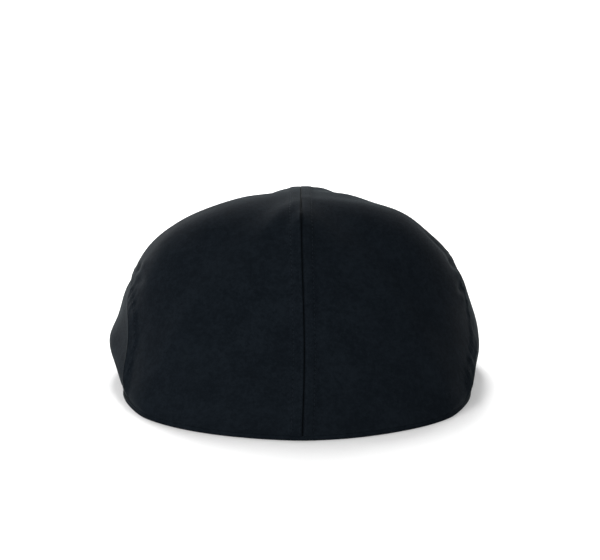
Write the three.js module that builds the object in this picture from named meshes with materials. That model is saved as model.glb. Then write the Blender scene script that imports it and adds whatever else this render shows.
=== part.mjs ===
import * as THREE from 'three';

// A duckbill cap of soft cloth, in millimetres. The front faces -Y, +Z is up and +X is the wearer's left.
// It rests on the plane z = 0 with its bill's edge and with the hem round its head opening.
//
// The cloth is one smooth form, cut into panels along the seams. Its form is a fan of meridians: each starts
// on a short spine along the top, runs out to the widest point, the waist, and turns under to the foot.
// A meridian is named by its azimuth in degrees, 0 at the middle of the front and 180 at the middle of the back.

// Materials' thicknesses and the gap between neighbouring pieces.
const CLOTH_WALL = 2;
const BILL_THICKNESS = 3;
const GAP = 0.3;

// Plan of the bill's outer edge, a superellipse that is a little pointed in the middle.
const BILL_HALF_WIDTH = 97.5;
const BILL_REACH = 60;
const BILL_MIDDLE_Y = -54.5;
const BILL_SQUARENESS = 1.76;

// The bill ends at this azimuth. Its inner edge is the front of the head opening, arched over the forehead.
const BILL_TIP_AZIMUTH = 81.6;
const BILL_TIP_DEPTH = 6;
const BILL_INNER_Y = -74;
const BILL_ARCH = 16;
const BILL_FLAT_SHARE = 0.1;

// Plan of the waist, the widest line of the cloth: it leaves the bill's edge for an oval round the whole body.
const WAIST_HALF_WIDTH = 114.5;
const WAIST_HALF_LENGTH = 123;
const WAIST_MIDDLE_Y = 8.5;
const WAIST_SQUARENESS = 2.05;
const WAIST_LEAVES_BILL = 66;
const WAIST_JOINS_OVAL = 96;

// Plan of the hem at the sides and the back, half an oval inside the waist that starts at the bill's tips, and
// where the foot leaves the waist for it. The hem lies on the bill's tips up to one azimuth and on the table
// from the next.
const HEM_HALF_WIDTH = 101;
const HEM_LENGTH = 139;
const HEM_FRONT_Y = -25;
const FOOT_LEAVES_WAIST = 76;
const FOOT_JOINS_HEM = 92;
const HEM_LEAVES_BILL = 82.6;
const HEM_TOUCHES_DOWN = 84.6;

// The spine along the top: its middle and half length in y, and its gentle fall to the front and the back.
const SPINE_MIDDLE_Y = 14.5;
const SPINE_HALF_LENGTH = 31;
const CROWN_HEIGHT = 110.4;
const CROWN_PEAK_Y = 16.4;
const CROWN_FALL = 0.00224;

// Sections of the form. waist: the height of the waist. lean: how steeply the cloth falls there, in degrees.
// top and side: the lengths of the curve's two handles as shares of its chord.
const SECTIONS = [
  { azimuth: 0, waist: 3.3, lean: 41, top: 0.09, side: 0.4 },
  { azimuth: 30, waist: 3.3, lean: 48, top: 0.09, side: 0.49 },
  { azimuth: 60, waist: 3.3, lean: 60, top: 0.11, side: 0.54 },
  { azimuth: 75, waist: 9, lean: 67, top: 0.29, side: 0.34 },
  { azimuth: 90, waist: 20, lean: 78, top: 0.57, side: 0.34 },
  { azimuth: 110, waist: 20, lean: 90, top: 0.5, side: 0.26 },
  { azimuth: 135, waist: 30, lean: 90, top: 0.34, side: 0.16 },
  { azimuth: 180, waist: 37, lean: 90, top: 0.5, side: 0.4 },
];

// From the waist down to the foot the cloth turns under. Near the foot it runs this much flatter than a
// straight line between the two, and it always falls a little. The curve's two handles are shares of the drop.
const UNDERTURN = 1.3;
const LEAST_FALL = 0.01;
const WAIST_HANDLE = 0.4;
const FOOT_HANDLE = 0.3;

// The side seam's height at each distance y, on the wearer's right and left. It starts at the bill's edge.
const SEAM_START_AZIMUTH = 76;
const SIDE_SEAM = [
  { y: -56, right: 6, left: 5 },
  { y: -46, right: 12, left: 9.5 },
  { y: -35, right: 26.5, left: 15.5 },
  { y: -20, right: 42, left: 24 },
  { y: -5, right: 50, left: 37 },
  { y: 10, right: 55, left: 57 },
  { y: 30, right: 59, left: 69 },
  { y: 55, right: 62, left: 70 },
  { y: 90, right: 62, left: 65 },
  { y: 132, right: 58, left: 58 },
];

// In front the side seam stands out as a low ridge. Further back the cloth is drawn in along it.
const SEAM_RIDGE = 1.3;
const SEAM_RIDGE_REACH = 4.5;
const SEAM_RIDGE_FULL = 79;
const SEAM_TUCK = 1.6;
const SEAM_TUCK_WIDTH = 7;
const SEAM_TUCK_START = 84;
const SEAM_TUCK_FULL = 94;

// Folds and dents: where the middle lies, its spread in degrees of azimuth and in millimetres along the
// meridian, and how far the cloth stands out there, negative for a dent.
const FOLDS = [
  { side: 'right', azimuth: 90.5, fromTop: 158, spread: 8, length: 9, rise: 3.9 },
  { side: 'right', azimuth: 90, fromTop: 160, spread: 14, length: 24, rise: -1.5 },
  { side: 'right', azimuth: 97, fromTop: 95, spread: 20, length: 30, rise: 1 },
  { side: 'right', azimuth: 122, fromTop: 36, spread: 24, length: 16, rise: 0.9 },
  { side: 'right', azimuth: 82, fromTop: 48, spread: 9, length: 34, rise: 1.8 },
  { side: 'right', azimuth: 82, fromTop: 23, spread: 9, length: 15, rise: -2 },
  { side: 'right', azimuth: 60, fromTop: 22, spread: 16, length: 15, rise: 3 },
  { side: 'right', azimuth: 124, fromTop: 92, spread: 13, length: 30, rise: -1.5 },
  { side: 'left', azimuth: 96, fromTop: 134, spread: 12, length: 12, rise: -1.2 },
  { side: 'left', azimuth: 88, fromTop: 164, spread: 7, length: 8, rise: -1.5 },
  { side: 'left', azimuth: 100, fromTop: 66, spread: 24, length: 14, rise: 1.5 },
  { side: 'left', azimuth: 128, fromTop: 36, spread: 26, length: 18, rise: 1.8 },
  { side: 'left', azimuth: 155, fromTop: 25, spread: 16, length: 13, rise: 1.4 },
  { side: 'left', azimuth: 84, fromTop: 48, spread: 9, length: 34, rise: 1.8 },
  { side: 'left', azimuth: 122, fromTop: 96, spread: 12, length: 28, rise: -1.4 },
  { side: 'left', azimuth: 150, fromTop: 88, spread: 15, length: 20, rise: -1.2 },
];

// The centre seam runs a little to the wearer's left of the middle, most at the middle of the front.
const SEAM_OFFSET = 2.4;
const SEAM_BOW = 1.8;
const SEAM_BOW_Y = -78;
const SEAM_BOW_LENGTH = 35;
const SEAM_OFFSET_REACH = 60;

// Grid of each piece.
const FRONT_COLUMNS = 14;
const CORNER_COLUMNS = 5;
const REAR_COLUMNS = 18;
const TOP_ROWS = 20;
const SIDE_ROWS = 10;
const BILL_COLUMNS = 32;
const BILL_ROWS = 5;

// At the start of the side seam the top panel's edge steps up from the bill. The step lies this far in front of
// the side panel, and is this wide, both in degrees of azimuth.
const CORNER_GAP = 0.4;
const CORNER_STEP = 0.08;

// Samples along each meridian's curve above and below the waist.
const UPPER_SAMPLES = 160;
const LOWER_SAMPLES = 48;
const SEAM_SEARCH_STEPS = 24;

// Steps for the differences that give normals and runs: degrees of azimuth and a share of a meridian's length.
const NORMAL_TURN = 0.5;
const NORMAL_SHARE = 0.01;
const RUN_TURN = 0.25;

// The side seam's gap is widened where the seam climbs, up to a climb of this sine.
const STEEPEST_CLIMB = 0.95;

// Height over which the wall's edge turns from level, at the foot, to square to the cloth.
const EDGE_TURN = 12;

// The whole form is moved so that its bounding box is centred on the origin.
const CENTRE_SHIFT_X = 0.9;
const CENTRE_SHIFT_Y = -8.5;

const radians = THREE.MathUtils.degToRad;
const lerp = THREE.MathUtils.lerp;
const smoothstep = THREE.MathUtils.smoothstep;

// Value of a named column where the key column has a given value, on a monotone cubic through the rows.
function columnValue(rows, key, name, value) {
  const last = rows.length - 1;
  let i = 0;
  while (i < last - 1 && value > rows[i + 1][key]) i += 1;
  const slope = (k) => (rows[k + 1][name] - rows[k][name]) / (rows[k + 1][key] - rows[k][key]);
  const tangent = (k) => {
    if (k === 0 || k === last) return 0;
    const before = slope(k - 1);
    const after = slope(k);
    if (before * after <= 0) return 0;
    const widthBefore = rows[k][key] - rows[k - 1][key];
    const widthAfter = rows[k + 1][key] - rows[k][key];
    const weightBefore = 2 * widthAfter + widthBefore;
    const weightAfter = widthAfter + 2 * widthBefore;
    return (weightBefore + weightAfter) / (weightBefore / before + weightAfter / after);
  };
  const width = rows[i + 1][key] - rows[i][key];
  const t = THREE.MathUtils.clamp((value - rows[i][key]) / width, 0, 1);
  const t2 = t * t;
  const t3 = t2 * t;
  return (2 * t3 - 3 * t2 + 1) * rows[i][name]
    + (t3 - 2 * t2 + t) * width * tangent(i)
    + (3 * t2 - 2 * t3) * rows[i + 1][name]
    + (t3 - t2) * width * tangent(i + 1);
}

// Power that keeps the sign, for superellipses.
function signedPower(value, exponent) {
  return Math.sign(value) * Math.abs(value) ** exponent;
}

// Plan of the bill's outer edge.
function billPlan(azimuth) {
  const angle = radians(azimuth);
  const exponent = 2 / BILL_SQUARENESS;
  return new THREE.Vector2(
    BILL_HALF_WIDTH * signedPower(Math.sin(angle), exponent),
    BILL_MIDDLE_Y - BILL_REACH * signedPower(Math.cos(angle), exponent),
  );
}

// The cloth's foot lies on the bill in front and on the table behind the bill's tips.
function footHeight(azimuth) {
  return (BILL_THICKNESS + GAP) * (1 - smoothstep(azimuth, HEM_LEAVES_BILL, HEM_TOUCHES_DOWN));
}

// Plan of the waist line.
function waistPlan(azimuth) {
  const angle = radians(azimuth);
  const exponent = 2 / WAIST_SQUARENESS;
  const oval = new THREE.Vector2(
    WAIST_HALF_WIDTH * signedPower(Math.sin(angle), exponent),
    WAIST_MIDDLE_Y - WAIST_HALF_LENGTH * signedPower(Math.cos(angle), exponent),
  );
  return billPlan(azimuth).lerp(oval, smoothstep(azimuth, WAIST_LEAVES_BILL, WAIST_JOINS_OVAL));
}

// Where a meridian starts on the spine.
function spineY(azimuth) {
  return SPINE_MIDDLE_Y - SPINE_HALF_LENGTH * Math.cos(radians(azimuth));
}

// Plan of the foot line, where the cloth ends at the bill's edge or at the hem. The hem's point lies on the
// straight line from the spine to the waist, so that each meridian stays in one upright plane.
function footPlan(azimuth) {
  const wide = waistPlan(azimuth);
  if (azimuth <= FOOT_LEAVES_WAIST) return wide;
  const startY = spineY(azimuth);
  const out = new THREE.Vector2(wide.x, wide.y - startY).normalize();
  const a = (out.x / HEM_HALF_WIDTH) ** 2 + (out.y / HEM_LENGTH) ** 2;
  const b = ((startY - HEM_FRONT_Y) * out.y) / HEM_LENGTH ** 2;
  const c = ((startY - HEM_FRONT_Y) / HEM_LENGTH) ** 2 - 1;
  const reach = (Math.sqrt(b * b - a * c) - b) / a;
  const hem = new THREE.Vector2(out.x * reach, startY + out.y * reach);
  return wide.lerp(hem, smoothstep(azimuth, FOOT_LEAVES_WAIST, FOOT_JOINS_HEM));
}

function buildMeridian(azimuth) {
  const angle = radians(azimuth);
  const foot = footPlan(azimuth);
  const wide = waistPlan(azimuth);
  const startY = spineY(azimuth);
  const start = new THREE.Vector3(0, startY, CROWN_HEIGHT - CROWN_FALL * (startY - CROWN_PEAK_Y) ** 2);
  const out = new THREE.Vector2(wide.x, wide.y - startY).normalize();
  const at = (name) => columnValue(SECTIONS, 'azimuth', name, azimuth);

  const lean = radians(at('lean'));
  const waist = new THREE.Vector3(wide.x, wide.y, at('waist'));
  const chord = waist.distanceTo(start);

  const spineSlope = -2 * CROWN_FALL * (startY - CROWN_PEAK_Y);
  const startSlope = spineSlope * out.y * Math.cos(angle) ** 2;
  const startDirection = new THREE.Vector3(out.x, out.y, startSlope).normalize();
  const waistDirection = new THREE.Vector3(out.x * Math.cos(lean), out.y * Math.cos(lean), -Math.sin(lean));
  const upper = new THREE.CubicBezierCurve3(
    start,
    start.clone().addScaledVector(startDirection, at('top') * chord),
    waist.clone().addScaledVector(waistDirection, -at('side') * chord),
    waist,
  );

  const end = new THREE.Vector3(foot.x, foot.y, footHeight(azimuth));
  const drop = end.distanceTo(waist);
  const endDirection = new THREE.Vector3(
    UNDERTURN * (end.x - waist.x),
    UNDERTURN * (end.y - waist.y),
    Math.min(end.z - waist.z, -LEAST_FALL),
  ).normalize();
  const lower = new THREE.CubicBezierCurve3(
    waist,
    waist.clone().addScaledVector(waistDirection, WAIST_HANDLE * drop),
    end.clone().addScaledVector(endDirection, -FOOT_HANDLE * drop),
    end,
  );

  const points = upper.getPoints(UPPER_SAMPLES).concat(lower.getPoints(LOWER_SAMPLES).slice(1));
  const distances = [0];
  for (let i = 1; i < points.length; i += 1) {
    distances.push(distances[i - 1] + points[i].distanceTo(points[i - 1]));
  }
  return { points, distances, length: distances[distances.length - 1] };
}

const meridians = new Map();

function meridianAt(azimuth) {
  const key = azimuth.toFixed(5);
  if (!meridians.has(key)) meridians.set(key, buildMeridian(azimuth));
  return meridians.get(key);
}

// Point at a share of the meridian's length, 0 at the spine and 1 at the foot.
function smoothPoint(azimuth, share) {
  const { points, distances, length } = meridianAt(azimuth);
  const target = THREE.MathUtils.clamp(share, 0, 1) * length;
  let low = 0;
  let high = distances.length - 1;
  while (high - low > 1) {
    const middle = (low + high) >> 1;
    if (distances[middle] <= target) low = middle;
    else high = middle;
  }
  const step = distances[high] - distances[low];
  const t = step > 0 ? (target - distances[low]) / step : 0;
  return points[low].clone().lerp(points[high], t);
}

// The side seam's height above the foot, measured along the meridian.
function seamAboveFoot(side, azimuth) {
  const aboveSeam = (share) => {
    const p = smoothPoint(azimuth, share);
    return p.z - columnValue(SIDE_SEAM, 'y', side, p.y);
  };
  let low = 0;
  let high = 1;
  for (let i = 0; i < SEAM_SEARCH_STEPS; i += 1) {
    const middle = (low + high) / 2;
    if (aboveSeam(middle) > 0) low = middle;
    else high = middle;
  }
  return (1 - low) * meridianAt(azimuth).length;
}

// Past the front or the back middle the form is its own mirror image.
function mirroredPoint(point, azimuth, share) {
  if (azimuth < 0) {
    const p = point(-azimuth, share);
    return new THREE.Vector3(-p.x, p.y, p.z);
  }
  if (azimuth > 180) {
    const p = point(360 - azimuth, share);
    return new THREE.Vector3(-p.x, p.y, p.z);
  }
  return point(azimuth, share);
}

// Outward normal by differences, taken a little inside the spine and the foot.
function normalOf(point, azimuth, share) {
  const inside = THREE.MathUtils.clamp(share, 2 * NORMAL_SHARE, 1 - NORMAL_SHARE);
  const before = mirroredPoint(point, azimuth - NORMAL_TURN, inside);
  const across = mirroredPoint(point, azimuth + NORMAL_TURN, inside).sub(before);
  const along = point(azimuth, inside + NORMAL_SHARE).sub(point(azimuth, inside - NORMAL_SHARE));
  return across.cross(along).normalize().negate();
}

const seams = new Map();

function seamHeight(side, azimuth) {
  const key = `${side} ${azimuth.toFixed(5)}`;
  if (!seams.has(key)) seams.set(key, seamAboveFoot(side, azimuth));
  return seams.get(key);
}

// How far the side seam moves the cloth, at a distance from the seam.
function seamRise(azimuth, offSeam) {
  const tucked = smoothstep(azimuth, SEAM_TUCK_START, SEAM_TUCK_FULL);
  const ridged = smoothstep(azimuth, SEAM_START_AZIMUTH, SEAM_RIDGE_FULL) * (1 - tucked);
  const ridge = SEAM_RIDGE * ridged * Math.exp(-Math.abs(offSeam) / SEAM_RIDGE_REACH);
  const tuck = SEAM_TUCK * tucked * Math.exp(-((offSeam / SEAM_TUCK_WIDTH) ** 2));
  return ridge - tuck;
}

// How far the folds and the side seam move the cloth along its normal.
function foldRise(side, azimuth, share) {
  const length = meridianAt(azimuth).length;
  const fromTop = share * length;
  let rise = 0;
  for (const fold of FOLDS) {
    if (fold.side === side) {
      const along = (fromTop - fold.fromTop) / fold.length;
      const across = (azimuth - fold.azimuth) / fold.spread;
      rise += fold.rise * Math.exp(-across * across - along * along);
    }
  }
  if (azimuth > SEAM_START_AZIMUTH) {
    rise += seamRise(azimuth, length - fromTop - seamHeight(side, azimuth));
  }
  return rise;
}

// The normal, turned level towards the foot, so that the wall's edge rests flat there.
function edgeDirection(normal, azimuth, share) {
  const level = new THREE.Vector3(normal.x, normal.y, 0).normalize();
  const aboveFoot = (1 - share) * meridianAt(azimuth).length;
  return level.lerp(normal, smoothstep(aboveFoot, 0, EDGE_TURN)).normalize();
}

// Point on the wall's outer face.
function outerPoint(side, azimuth, share) {
  const outward = edgeDirection(normalOf(smoothPoint, azimuth, share), azimuth, share);
  return smoothPoint(azimuth, share).addScaledVector(outward, foldRise(side, azimuth, share));
}

// Point on the wall's inner face.
function innerPoint(side, azimuth, share) {
  const surface = (a, s) => outerPoint(side, a, s);
  const normal = normalOf(surface, azimuth, share);
  const onCentreSeam = share === 0 || azimuth === 0 || azimuth === 180;
  if (onCentreSeam) normal.setX(0).normalize();
  const outward = edgeDirection(normal, azimuth, share);
  return surface(azimuth, share).addScaledVector(outward, -CLOTH_WALL / outward.dot(normal));
}

// Mirrors a point to its side, opens the centre seam's gap, bows the seam and centres the form.
function place(point, sideSign, gap) {
  const x = sideSign * (point.x + gap / 2);
  const bow = (point.y - SEAM_BOW_Y) / SEAM_BOW_LENGTH;
  const offset = SEAM_OFFSET + SEAM_BOW * Math.exp(-bow * bow);
  const near = Math.max(0, 1 - (x / SEAM_OFFSET_REACH) ** 2) ** 2;
  return new THREE.Vector3(x + offset * near + CENTRE_SHIFT_X, point.y + CENTRE_SHIFT_Y, point.z);
}

// Closed body between an outer and an inner grid of points with the same columns and rows.
function closedWall(outer, inner, flipped) {
  const columns = outer.length;
  const rows = outer[0].length;
  const positions = [];
  for (const grid of [outer, inner]) {
    for (const column of grid) {
      for (const p of column) positions.push(p.x, p.y, p.z);
    }
  }
  const indices = [];
  const vertex = (layer, column, row) => (layer * columns + column) * rows + row;
  const quad = (a, b, c, d) => {
    if (flipped) indices.push(a, c, b, a, d, c);
    else indices.push(a, b, c, a, c, d);
  };
  for (let i = 0; i < columns - 1; i += 1) {
    for (let j = 0; j < rows - 1; j += 1) {
      quad(vertex(0, i, j), vertex(0, i, j + 1), vertex(0, i + 1, j + 1), vertex(0, i + 1, j));
      quad(vertex(1, i, j), vertex(1, i + 1, j), vertex(1, i + 1, j + 1), vertex(1, i, j + 1));
    }
    const end = rows - 1;
    quad(vertex(0, i, 0), vertex(0, i + 1, 0), vertex(1, i + 1, 0), vertex(1, i, 0));
    quad(vertex(0, i, end), vertex(1, i, end), vertex(1, i + 1, end), vertex(0, i + 1, end));
  }
  for (let j = 0; j < rows - 1; j += 1) {
    const end = columns - 1;
    quad(vertex(0, 0, j), vertex(1, 0, j), vertex(1, 0, j + 1), vertex(0, 0, j + 1));
    quad(vertex(0, end, j), vertex(0, end, j + 1), vertex(1, end, j + 1), vertex(1, end, j));
  }
  const geometry = new THREE.BufferGeometry();
  geometry.setAttribute('position', new THREE.Float32BufferAttribute(positions, 3));
  geometry.setIndex(indices);
  geometry.computeVertexNormals();
  return geometry;
}

// Azimuths from one to another whose points are evenly spaced along the waist.
function evenAzimuths(from, to, count) {
  const steps = Math.ceil((to - from) / RUN_TURN);
  const azimuths = [from];
  const runs = [0];
  for (let i = 1; i <= steps; i += 1) {
    const azimuth = lerp(from, to, i / steps);
    runs.push(runs[i - 1] + waistPlan(azimuth).distanceTo(waistPlan(azimuths[i - 1])));
    azimuths.push(azimuth);
  }
  const list = [];
  let k = 0;
  for (let i = 0; i <= count; i += 1) {
    const target = (i / count) * runs[steps];
    while (k < steps - 1 && runs[k + 1] < target) k += 1;
    const share = (target - runs[k]) / (runs[k + 1] - runs[k]);
    list.push(lerp(azimuths[k], azimuths[k + 1], THREE.MathUtils.clamp(share, 0, 1)));
  }
  return list;
}

// Columns behind the start of the side seam, with one at each end of the step down from the bill's tip.
function rearAzimuths() {
  return evenAzimuths(SEAM_START_AZIMUTH, HEM_LEAVES_BILL, CORNER_COLUMNS)
    .concat(evenAzimuths(HEM_TOUCHES_DOWN, 180, REAR_COLUMNS));
}

// Half of the gap at the side seam, measured along the meridian, so that the gap is even where the seam climbs.
function seamClearance(side, azimuth) {
  const edgePoint = (a) => smoothPoint(a, 1 - seamHeight(side, a) / meridianAt(a).length);
  const before = Math.max(azimuth - NORMAL_TURN, SEAM_START_AZIMUTH);
  const after = Math.min(azimuth + NORMAL_TURN, 180);
  const climb = seamHeight(side, after) - seamHeight(side, before);
  const run = edgePoint(after).distanceTo(edgePoint(before));
  const sine = Math.min(Math.abs(climb) / run, STEEPEST_CLIMB);
  return GAP / 2 / Math.sqrt(1 - sine * sine);
}

// Half of the top: from the spine down to the bill's edge in front and to the side seam behind it.
function topPanel(side, sideSign) {
  const corner = SEAM_START_AZIMUTH - CORNER_GAP;
  const frontAzimuths = evenAzimuths(0, corner, FRONT_COLUMNS);
  const outer = [];
  const inner = [];
  for (const azimuth of frontAzimuths.concat(corner + CORNER_STEP, rearAzimuths())) {
    const length = meridianAt(azimuth).length;
    const behindCorner = azimuth > corner;
    const edge = behindCorner ? seamHeight(side, azimuth) + seamClearance(side, azimuth) : 0;
    const outerColumn = [];
    const innerColumn = [];
    for (let j = 0; j <= TOP_ROWS; j += 1) {
      const share = (j / TOP_ROWS) * (1 - edge / length);
      outerColumn.push(place(outerPoint(side, azimuth, share), sideSign, GAP));
      innerColumn.push(place(innerPoint(side, azimuth, share), sideSign, GAP));
    }
    outer.push(outerColumn);
    inner.push(innerColumn);
  }
  return closedWall(outer, inner, sideSign < 0);
}

// The low panel round one side and half of the back, from the side seam to the hem.
function sidePanel(side, sideSign) {
  const outer = [];
  const inner = [];
  for (const azimuth of rearAzimuths()) {
    const length = meridianAt(azimuth).length;
    const height = seamHeight(side, azimuth) - seamClearance(side, azimuth);
    const outerColumn = [];
    const innerColumn = [];
    for (let j = 0; j <= SIDE_ROWS; j += 1) {
      const share = 1 - (height / length) * (1 - j / SIDE_ROWS);
      outerColumn.push(place(outerPoint(side, azimuth, share), sideSign, GAP));
      innerColumn.push(place(innerPoint(side, azimuth, share), sideSign, GAP));
    }
    outer.push(outerColumn);
    inner.push(innerColumn);
  }
  return closedWall(outer, inner, sideSign < 0);
}

// The bill: a plate from its outer edge, which lies on the table, to its arched inner edge.
function billPlate() {
  const tip = footPlan(BILL_TIP_AZIMUTH);
  const tipWidth = tip.x - BILL_TIP_DEPTH;
  const upper = [];
  const under = [];
  for (let i = 0; i <= BILL_COLUMNS; i += 1) {
    const turn = lerp(-1, 1, i / BILL_COLUMNS);
    const azimuth = Math.abs(turn) * BILL_TIP_AZIMUTH;
    const sideSign = Math.sign(turn) || 1;
    const outerEdge = footPlan(azimuth);
    const angle = Math.abs(turn) * Math.PI / 2;
    const innerX = tipWidth * Math.sin(angle);
    const innerY = lerp(tip.y, BILL_INNER_Y, Math.cos(angle));
    const arch = BILL_ARCH * Math.cos(angle) ** 2;
    const upperColumn = [];
    const underColumn = [];
    for (let j = 0; j <= BILL_ROWS; j += 1) {
      const share = j / BILL_ROWS;
      const x = lerp(outerEdge.x, innerX, share);
      const y = lerp(outerEdge.y, innerY, share);
      const rise = arch * (Math.max(0, share - BILL_FLAT_SHARE) / (1 - BILL_FLAT_SHARE)) ** 2;
      const low = new THREE.Vector3(x, y, rise);
      const high = new THREE.Vector3(x, y, rise + BILL_THICKNESS);
      underColumn.push(place(low, sideSign, 0));
      upperColumn.push(place(high, sideSign, 0));
    }
    upper.push(upperColumn);
    under.push(underColumn);
  }
  return closedWall(upper, under, true);
}

function piece(name, geometry) {
  const cloth = new THREE.MeshStandardMaterial({ color: 0x1a1e24, roughness: 0.95, metalness: 0 });
  const mesh = new THREE.Mesh(geometry, cloth);
  mesh.name = name;
  return mesh;
}

const group = new THREE.Group();
group.add(
  piece('top_panel_left', topPanel('left', 1)),
  piece('top_panel_right', topPanel('right', -1)),
  piece('side_panel_left', sidePanel('left', 1)),
  piece('side_panel_right', sidePanel('right', -1)),
  piece('bill', billPlate()),
);

export default group;
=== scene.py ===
# %% [markdown]
# A duckbill cap of brushed cotton
#
# The real cap is two curved top panels, joined by one seam from the bill over the crown to the back, two
# low side panels that meet at the back, and a short stiff bill that the front of the cloth hides. It lies
# on a white surface and is seen from the front, a little from above.
#
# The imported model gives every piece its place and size. We load it first and keep its box, to compare our
# finer pieces with it at the end.

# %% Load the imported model
import math

import bpy
import numpy as np
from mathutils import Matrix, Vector, kdtree


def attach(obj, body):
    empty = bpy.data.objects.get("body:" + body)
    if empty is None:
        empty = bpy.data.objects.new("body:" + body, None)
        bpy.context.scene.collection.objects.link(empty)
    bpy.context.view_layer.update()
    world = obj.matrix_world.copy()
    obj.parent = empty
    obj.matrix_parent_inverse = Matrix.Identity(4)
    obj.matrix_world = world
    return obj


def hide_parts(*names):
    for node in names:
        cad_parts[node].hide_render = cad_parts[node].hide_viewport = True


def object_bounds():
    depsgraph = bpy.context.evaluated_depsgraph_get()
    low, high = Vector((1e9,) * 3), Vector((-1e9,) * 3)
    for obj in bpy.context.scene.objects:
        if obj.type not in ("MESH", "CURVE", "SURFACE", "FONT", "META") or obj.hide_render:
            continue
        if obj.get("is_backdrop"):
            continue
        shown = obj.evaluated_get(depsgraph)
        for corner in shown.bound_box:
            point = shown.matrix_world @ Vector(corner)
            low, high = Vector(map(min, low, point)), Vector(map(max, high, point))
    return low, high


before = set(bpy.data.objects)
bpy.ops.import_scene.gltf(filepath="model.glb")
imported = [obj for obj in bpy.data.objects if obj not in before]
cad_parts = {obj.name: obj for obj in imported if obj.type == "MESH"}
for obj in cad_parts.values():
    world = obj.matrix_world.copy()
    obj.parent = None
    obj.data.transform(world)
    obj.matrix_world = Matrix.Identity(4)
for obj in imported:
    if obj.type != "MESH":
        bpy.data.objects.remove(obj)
cad_box = [list(corner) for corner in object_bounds()]
print("packed nodes:", sorted(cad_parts))

# %% [markdown]
# Sizes
#
# A cap's sizes are read in millimetres, while Blender works in metres, so each size is a number times MM.
# The cloth's form is a fan of meridians. Each starts on a short spine along the top, runs out to the waist,
# the widest line, and turns under to the foot. A meridian is named by its azimuth in degrees, 0 at the
# middle of the front and 180 at the middle of the back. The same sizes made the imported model, so our
# surface lies where its walls are. Only the hem differs a little, just behind the bill's tips.

# %% Driving sizes
MM = 0.001

CLOTH_WALL = 2 * MM
BILL_THICKNESS = 3 * MM
PLY_GAP = 0.08 * MM

BILL_HALF_WIDTH = 97.5 * MM
BILL_REACH = 60 * MM
BILL_MIDDLE_Y = -54.5 * MM
BILL_SQUARENESS = 1.76
BILL_TIP_AZIMUTH = 81.6
BILL_TIP_DEPTH = 6 * MM
BILL_INNER_Y = -74 * MM
BILL_ARCH = 16 * MM
BILL_FLAT_SHARE = 0.1

WAIST_HALF_WIDTH = 114.5 * MM
WAIST_HALF_LENGTH = 123 * MM
WAIST_MIDDLE_Y = 8.5 * MM
WAIST_SQUARENESS = 2.05
WAIST_LEAVES_BILL = 66
WAIST_JOINS_OVAL = 96

HEM_HALF_WIDTH = 101 * MM
HEM_LENGTH = 139 * MM
HEM_FRONT_Y = -25 * MM
FOOT_LEAVES_WAIST = 76
FOOT_JOINS_HEM = 92
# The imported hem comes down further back, to leave the bill's tip more room. Here it closes on the tip.
HEM_LEAVES_BILL = 81.6
HEM_TOUCHES_DOWN = 82.3

SPINE_MIDDLE_Y = 14.5 * MM
SPINE_HALF_LENGTH = 31 * MM
CROWN_HEIGHT = 110.4 * MM
CROWN_PEAK_Y = 16.4 * MM
CROWN_FALL = 0.00224 / MM

UNDERTURN = 1.3
LEAST_FALL = 0.01 * MM
WAIST_HANDLE = 0.4
FOOT_HANDLE = 0.3
EDGE_TURN = 12 * MM

CENTRE_SHIFT_X = 0.9 * MM
CENTRE_SHIFT_Y = -8.5 * MM
SEAM_OFFSET = 2.4 * MM
SEAM_BOW = 1.8 * MM
SEAM_BOW_Y = -78 * MM
SEAM_BOW_LENGTH = 35 * MM
SEAM_OFFSET_REACH = 60 * MM

# %% Tables of the form
# waist: height of the waist. lean: how steeply the cloth falls there. top and side: the curve's handles.
SECTIONS = {
    "azimuth": [0, 30, 60, 75, 90, 110, 135, 180],
    "waist": [3.3, 3.3, 3.3, 9, 20, 20, 30, 37],
    "lean": [41, 48, 60, 67, 78, 90, 90, 90],
    "top": [0.09, 0.09, 0.11, 0.29, 0.57, 0.5, 0.34, 0.5],
    "side": [0.4, 0.49, 0.54, 0.34, 0.34, 0.26, 0.16, 0.4],
}

# Height of the side seam at each distance y, on the wearer's right and left.
SIDE_SEAM = {
    "y": [-56, -46, -35, -20, -5, 10, 30, 55, 90, 132],
    "right": [6, 12, 26.5, 42, 50, 55, 59, 62, 62, 58],
    "left": [5, 9.5, 15.5, 24, 37, 57, 69, 70, 65, 58],
}
SEAM_START_AZIMUTH = 76
# In front the side seam stands out as a low ridge. Further back the cloth is drawn in along it.
SEAM_RIDGE = 1.3 * MM
SEAM_RIDGE_REACH = 4.5 * MM
SEAM_RIDGE_FULL = 79
SEAM_TUCK = 1.6 * MM
SEAM_TUCK_WIDTH = 7 * MM
SEAM_TUCK_START = 84
SEAM_TUCK_FULL = 94

# Folds and dents: where the middle lies, how far each reaches both ways, and how high it rises.
FOLDS = {
    "side": ["right"] * 8 + ["left"] * 8,
    "azimuth": [90.5, 90, 97, 122, 82, 82, 60, 124, 96, 88, 100, 128, 155, 84, 122, 150],
    "from_top": [158, 160, 95, 36, 48, 23, 22, 92, 134, 164, 66, 36, 25, 48, 96, 88],
    "azimuth_reach": [8, 14, 20, 24, 9, 9, 16, 13, 12, 7, 24, 26, 16, 9, 12, 15],
    "from_top_reach": [9, 24, 30, 16, 34, 15, 15, 30, 12, 8, 14, 18, 13, 34, 28, 20],
    "rise": [3.9, -1.5, 1, 0.9, 1.8, -2, 3, -1.5, -1.2, -1.5, 1.5, 1.8, 1.4, 1.8, -1.4, -1.2],
}
print("the crown stands", round(CROWN_HEIGHT / MM), "mm high; the packed box is", cad_box)

# %% [markdown]
# The form's formulas
#
# A table gives values at a few azimuths only. A monotone cubic runs through them without overshooting, as a
# plain spline would do between a flat and a steep stretch. Numpy works out many meridians at once, because
# a loop over a quarter of a million points would be slow in Python.


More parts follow.
